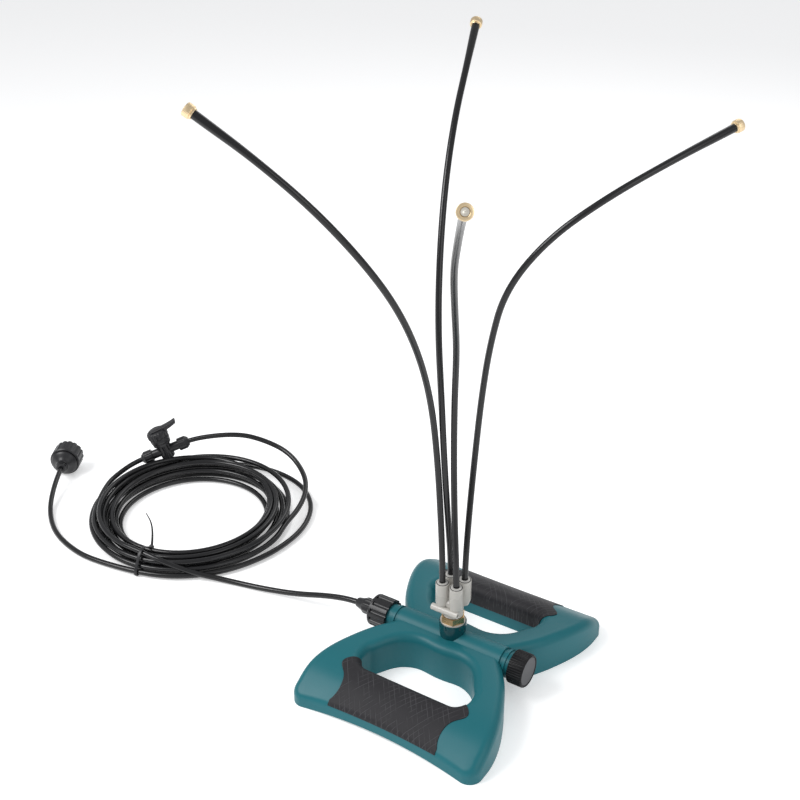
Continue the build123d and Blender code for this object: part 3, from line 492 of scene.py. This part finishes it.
# what each node of the frame rides on and is finished with
bodyOf = {node: body for body, members in frame["record"]["behaviour"]["bodies"].items()
          for node in members}
slotOf = {entry["node"]: entry["material_slot"] for entry in frame["record"]["subparts"]}
finishOf = {
    "shell_plastic": "shellTeal", "riser_plastic": "riserTeal", "grip_rubber": "gripRubber",
    "black_plastic": "blackPlastic", "grey_disc": "discGrey", "white_plastic": "portWhite",
    "collar_grey": "collarWhite", "hose_black": "hoseBlack", "brass": "brassTurned",
    "seal_rubber": "sealRubber", "steel": "steelPlated", "tie_nylon": "blackPlastic",
    "handle_plastic": "blackPlastic",
}
crispAngle = 32.0           # degrees: a sharper edge stays crisp
weldGap = 1e-6              # metres
cadWeldGap = 2e-6


def shadeSmooth(bm, sharp):
    for face in bm.faces:
        face.smooth = True
    for edge in bm.edges:
        edge.smooth = len(edge.link_faces) == 2 and edge.calc_face_angle(0) < math.radians(sharp)


def pieceFromMesh(name, mesh, node, finish=None):
    # a new piece on the body of a node, finished as the node's slot is unless another finish is given
    mesh.materials.append(finishes[finish or finishOf[slotOf[node]]])
    piece = bpy.data.objects.new(name, mesh)
    bpy.context.scene.collection.objects.link(piece)
    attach(piece, bodyOf[node])
    return piece


def smoothCopy(node):
    # a welded copy of a CAD piece with smooth shading and its crisp edges kept
    mesh = nodes[node].data.copy()
    mesh.name = "smooth_" + node
    bm = bmesh.new()
    bm.from_mesh(mesh)
    bmesh.ops.remove_doubles(bm, verts=bm.verts, dist=cadWeldGap)
    bmesh.ops.dissolve_degenerate(bm, edges=bm.edges, dist=weldGap)
    shadeSmooth(bm, crispAngle)
    bm.to_mesh(mesh)
    bm.free()
    mesh.materials.clear()
    piece = pieceFromMesh("Piece_" + node, mesh, node)
    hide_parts(node)
    return piece


def finishPiece(name, bm, place, node, sharp=crispAngle, finish=None):
    # normals, place and shading of a new mesh
    bmesh.ops.recalc_face_normals(bm, faces=bm.faces)
    bmesh.ops.transform(bm, matrix=place, verts=bm.verts)
    shadeSmooth(bm, sharp)
    mesh = bpy.data.meshes.new(name)
    bm.to_mesh(mesh)
    bm.free()
    return pieceFromMesh(name, mesh, node, finish)


def cutRibs(bm, rib):
    # hollows between ribs: count of them round Z, between two heights and beyond a radius
    for vert in bm.verts:
        radius = math.hypot(vert.co.x, vert.co.y)
        if rib["low"] * mm < vert.co.z < rib["high"] * mm and radius > rib["beyond"] * mm:
            wave = 0.5 - 0.5 * math.cos(rib["count"] * math.atan2(vert.co.y, vert.co.x))
            scale = 1 - rib["depth"] * mm * wave ** rib["power"] / radius
            vert.co.x *= scale
            vert.co.y *= scale


def turnedPiece(name, profile, place, node, steps=48, ribs=None, finish=None):
    # a profile of (radius, height) in millimetres spun round Z, ribbed, and set in place
    bm = bmesh.new()
    line = [bm.verts.new((radius * mm, 0, height * mm)) for radius, height in profile]
    edges = [bm.edges.new(pair) for pair in zip(line, line[1:])]
    if profile[0][0] > 0:
        edges.append(bm.edges.new((line[-1], line[0])))
    bmesh.ops.spin(bm, geom=line + edges, cent=(0, 0, 0), axis=(0, 0, 1), angle=math.tau, steps=steps,
                   use_merge=True)
    bmesh.ops.remove_doubles(bm, verts=bm.verts, dist=weldGap)
    if ribs:
        cutRibs(bm, ribs)
    return finishPiece(name, bm, place, node, finish=finish)


def placeAlong(origin, direction):
    # a place whose Z points along a direction that isn't upright
    z = Vector(direction).normalized()
    x = Vector((0, 0, 1)).cross(z).normalized()
    turn = Matrix((x, z.cross(x), z)).transposed().to_4x4()
    return Matrix.Translation(Vector(origin) * mm) @ turn


pipeAxis = (0, 0, 31)       # a point on the axis of the inlet and the end cap

# the knurled end cap, measured out along the pipe
endCap = {
    "profile": [(13.35, 70.7), (16.0, 70.7), (17.0, 71.3), (17.2, 72.2), (17.2, 85.7), (16.8, 86.9),
                (16.0, 87.7), (15.5, 87.7), (15.1, 87.3), (15.1, 86.4), (0, 86.4), (0, 84.1),
                (13.35, 84.1)],
    "ribs": {"low": 71.6, "high": 86.6, "beyond": 16.4, "count": 40, "depth": 1.0, "power": 1.6},
}
capPiece = turnedPiece("EndCap", endCap["profile"], placeAlong(pipeAxis, (1, 0, 0)), "end_cap",
                       steps=200, ribs=endCap["ribs"], finish="capBlack")
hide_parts("end_cap")

# the rounded nut and taper where the hose leaves the inlet, measured back along the pipe
clampNut = {
    "profile": [(3.3, 96), (7.8, 96), (8.6, 96.7), (8.8, 97.8), (8.8, 106.5), (8.4, 108), (7.2, 109.6),
                (6.9, 110.2), (6.6, 111), (5.2, 116.6), (4.8, 117.6), (4.3, 118), (3.3, 118)],
    "facets": {"low": 96.4, "high": 108.6, "beyond": 7.5, "count": 8, "depth": 0.85, "power": 1.0},
}
clampPiece = turnedPiece("HoseClampNut", clampNut["profile"], placeAlong(pipeAxis, (-1, 0, 0)),
                         "hose_clamp_nut", steps=96, ribs=clampNut["facets"])
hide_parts("hose_clamp_nut")

# the bell-shaped tail of the tap connector, measured back from the middle of its nut
tapTail = {
    "origin": (-626, 56.5, 19),
    "direction": (0.52, -0.854, 0),
    "profile": [(3.3, 5.7), (12.9, 5.7), (12.9, 7.9), (8.4, 7.9), (8.4, 11.5), (15.6, 11.5),
                (16.4, 12.1), (16.6, 13.0), (16.1, 14.2), (14.4, 15.6), (11.8, 17.2), (9.6, 18.8),
                (8.3, 20.4), (7.7, 21.6), (7.6, 22.3), (6.2, 22.6), (6.2, 23.2), (7.0, 23.5),
                (7.2, 24.3), (7.0, 25.1), (5.9, 25.4), (5.9, 25.9), (6.5, 26.2), (6.6, 27.2),
                (6.2, 28.1), (5.2, 28.4), (3.3, 28.4)],
}
tapTailPiece = turnedPiece("TapTail", tapTail["profile"],
                           placeAlong(tapTail["origin"], tapTail["direction"]), "tap_tail", steps=72)
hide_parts("tap_tail")

# a thin dark ring of painted shade on each port's top round its release collar, standing in for the shadow in
# the gap there
collarShadeRing = [(5.53, 104.9), (6.3, 104.9), (6.3, 105.12), (5.53, 105.12)]
for side, (signX, signY) in portSigns.items():
    axis = Matrix.Translation((portHalf * mm * signX, portHalf * mm * signY, 0))
    # painted shade: a dark sealRubber ring where the gap round the collar is only in shadow
    turnedPiece("CollarShadeRing" + side.title(), collarShadeRing, axis, "port_o_rings", steps=64,
                finish="sealRubber")

# the brass nozzles, each a stepped knurled head with a pressed-in tip
nozzle = {
    "head": [(1.1, 0), (4.7, 0), (4.9, 0.3), (4.9, 1.5), (5.7, 1.8), (6.0, 2.4), (6.0, 7.3), (5.8, 7.8),
             (5.4, 8.0), (3.7, 8.0), (3.55, 7.85), (3.55, 5.9), (1.1, 5.9)],
    "tip": [(0.35, 6.0), (3.1, 6.0), (3.1, 7.5), (2.9, 7.8), (0.9, 7.8), (0.35, 7.5)],
    "knurl": {"low": 2.2, "high": 7.4, "beyond": 5.6, "count": 30, "depth": 0.2, "power": 1.4},
}


def makeNozzles(parts):
    for side, route in tubeRoutes.items():
        end, before = Vector(route[-1]), Vector(route[-2])
        place = placeAlong(end, end - before)
        head = turnedPiece("Nozzle_" + side, parts["head"], place, "nozzle_" + side, steps=120,
                           ribs=parts["knurl"], finish="brassLight")
        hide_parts("nozzle_" + side)
        tip = turnedPiece("NozzleTip_" + side, parts["tip"], place, "nozzle_insert_" + side, steps=40,
                          finish="brassPale")
        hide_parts("nozzle_insert_" + side)


makeNozzles(nozzle)

# the shut-off valve: X along the flow, Z up its stem
valve = {
    "origin": (-507, 119, 38),
    "flow": (0.67, 0.67, 0.32),
    "stem": [(0, -10.5), (8.0, -10.5), (8.7, -9.8), (8.9, -3), (9.0, 6), (9.0, 9.6), (10.6, 10.2),
             (11.6, 11.2), (11.8, 12.4), (11.8, 14.4), (11.2, 15.0), (11.2, 15.6), (12.4, 16.2),
             (12.6, 17.2), (12.6, 20.6), (12.0, 21.6), (4.2, 21.6), (4.2, 21.0), (0, 21.0)],
    "stemRibs": {"low": -10, "high": 9.8, "beyond": 8.2, "count": 12, "depth": 1.1, "power": 0.7},
    "cap": [(0, 22.0), (12.2, 22.0), (13.2, 22.6), (13.5, 23.8), (13.5, 27.6), (13.2, 29.2),
            (12.2, 30.6), (10.4, 31.4), (9.4, 31.6), (9.0, 31.2), (0, 31.2)],
    "capRibs": {"low": 22.4, "high": 30.9, "beyond": 12.0, "count": 20, "depth": 0.9, "power": 0.8},
    "barrel": [(2.0, -26), (5.4, -26), (5.8, -25.6), (5.8, 25.6), (5.4, 26), (2.0, 26)],
    "arm": [(-7, 32.4), (4, 33.0), (13, 33.9), (21, 35.2), (28, 37.0)],
    "armWidth": (9.6, 8.448),       # at the root and at the tip
    "armThick": (7.2, 4.32),
    "armBevel": 0.7,
    "armCrisp": 40,                 # degrees
}


def valvePlace(parts):
    flow = Vector(parts["flow"]).normalized()
    across = flow.cross(Vector((0, 0, 1))).normalized()
    up = across.cross(flow)
    turn = Matrix((flow, up.cross(flow), up)).transposed().to_4x4()
    return Matrix.Translation(Vector(parts["origin"]) * mm) @ turn


def makeValveArm(parts, place):
    # a flat bar that rises from the cap and turns up at its tip
    bm = bmesh.new()
    rings = []
    for index, (x, z) in enumerate(parts["arm"]):
        share = index / (len(parts["arm"]) - 1)
        width, thick = (root + (tip - root) * share for root, tip in (parts["armWidth"], parts["armThick"]))
        half = width / 2
        corners = [(x, -half, z), (x, half, z), (x, half, z - thick), (x, -half, z - thick)]
        verts = [bm.verts.new([c * mm for c in corner]) for corner in corners]
        rings.append([bm.edges.new((verts[i], verts[(i + 1) % 4])) for i in range(4)])
    for first, second in zip(rings, rings[1:]):
        bmesh.ops.bridge_loops(bm, edges=first + second)
    bmesh.ops.contextual_create(bm, geom=rings[0])
    bmesh.ops.contextual_create(bm, geom=rings[-1])
    bmesh.ops.recalc_face_normals(bm, faces=bm.faces)
    bmesh.ops.bevel(bm, geom=list(bm.edges), offset=parts["armBevel"] * mm, segments=3,
                    affect="EDGES", profile=0.5, material=-1, clamp_overlap=True)
    return finishPiece("ValveArm", bm, place, "valve_lever", sharp=parts["armCrisp"])


def makeValve(parts):
    place = valvePlace(parts)
    stem = turnedPiece("ValveStem", parts["stem"], place, "valve_body", steps=144,
                       ribs=parts["stemRibs"])
    sideways = place @ Matrix.Rotation(math.radians(90), 4, "Y")
    barrel = turnedPiece("ValveBarrel", parts["barrel"], sideways, "valve_body")
    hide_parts("valve_body")
    cap = turnedPiece("ValveCap", parts["cap"], place, "valve_lever", steps=144, ribs=parts["capRibs"])
    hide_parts("valve_lever")
    return [stem, barrel, cap, makeValveArm(parts, place)]


valveShapes = makeValve(valve)

# the cable tie round the bundle, drawn in the upright plane through the coil's axis
tie = {
    "strap": [(83.6, 0.8), (83.2, 5.4), (86.4, 10.2), (90, 15.4), (96, 20.6), (104, 25.2), (110.5, 28.2),
              (117.5, 24.6), (122.5, 17.6), (128, 9.4), (129.9, 3.6), (127.5, 0.8), (105, 0.7)],
    "tail": [(92, 18), (90, 24), (87.6, 33), (86.8, 43), (89, 54), (95, 66)],
    "width": 2.7, "thickness": 1.1,
    "tailWidth": 0.8,               # share of the strap's width
    "tailTaper": 0.45,              # its size at the tip
    "head": (92.4, 18.2), "headTurn": 42.0, "headSize": (5.2, 4.2, 4.6), "headBevel": 0.8,
    "crisp": 50,                    # degrees
}


def tiePlace():
    centre = Vector((*hose["coilCentre"], 0)) * mm
    angle = math.radians(hose["tieAngle"])
    out = Vector((math.cos(angle), math.sin(angle), 0))
    up = Vector((0, 0, 1))
    return Matrix.Translation(centre) @ Matrix((out, up, out.cross(up))).transposed().to_4x4()


def ribbonMesh(name, points, width, thickness, closed, taper=1.0):
    # a flat band along a line of points, smaller towards its end by the taper
    data = bpy.data.curves.new(name, "CURVE")
    data.dimensions = "2D"
    data.fill_mode = "NONE"
    data.extrude = width / 2 * mm
    data.bevel_depth = thickness / 2 * mm
    data.bevel_resolution = 2
    data.resolution_u = 10
    spline = data.splines.new("NURBS")
    spline.points.add(len(points) - 1)
    for index, (point, (x, y)) in enumerate(zip(spline.points, points)):
        point.co = (x * mm, y * mm, 0, 1)
        point.radius = 1 + (taper - 1) * index / (len(points) - 1)
    spline.order_u = 3
    spline.use_cyclic_u = closed
    spline.use_endpoint_u = not closed
    return meshFromCurve(data)


def makeTie(parts):
    bm = bmesh.new()
    strap = ribbonMesh("tieStrap", parts["strap"], parts["width"], parts["thickness"], True)
    tail = ribbonMesh("tieTail", parts["tail"], parts["width"] * parts["tailWidth"],
                      parts["thickness"], False, parts["tailTaper"])
    bm.from_mesh(strap)
    bm.from_mesh(tail)
    bmesh.ops.remove_doubles(bm, verts=bm.verts, dist=weldGap)
    x, y = parts["head"]
    size = Matrix.Diagonal((*(side * mm for side in parts["headSize"]), 1))
    turn = Matrix.Rotation(math.radians(parts["headTurn"]), 4, "Z")
    cube = bmesh.ops.create_cube(bm, size=1, matrix=Matrix.Translation((x * mm, y * mm, 0)) @ turn @ size)
    edges = list({edge for vert in cube["verts"] for edge in vert.link_edges})
    bmesh.ops.bevel(bm, geom=edges, offset=parts["headBevel"] * mm, segments=2, affect="EDGES",
                    profile=0.5, material=-1)
    piece = finishPiece("CableTie", bm, tiePlace(), "cable_tie", sharp=parts["crisp"])
    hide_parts("cable_tie")
    return piece


tiePiece = makeTie(tie)
print("end cap, clamp nut, tap tail, nozzles, valve and tie")

# every other node keeps its shape, as a smooth copy
hoseNodes = ["feed_hose", "valve_tail_hose", "hose_coil", "supply_hose", "valve_loop_hose", "loose_loop_hose"]
replaced = hoseNodes + ["tap_tail", "hose_clamp_nut", "end_cap", "valve_body", "valve_lever", "cable_tie"]
for side in tubeRoutes:
    replaced += ["tube_" + side, "nozzle_" + side, "nozzle_insert_" + side]
copies = {node: smoothCopy(node) for node in nodes if node not in replaced}
print("smooth copies:", len(copies))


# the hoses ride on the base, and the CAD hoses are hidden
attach(feedHose, "base")
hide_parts("feed_hose", "valve_tail_hose", "hose_coil")
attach(supplyHose, "base")
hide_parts("supply_hose", "valve_loop_hose", "loose_loop_hose")
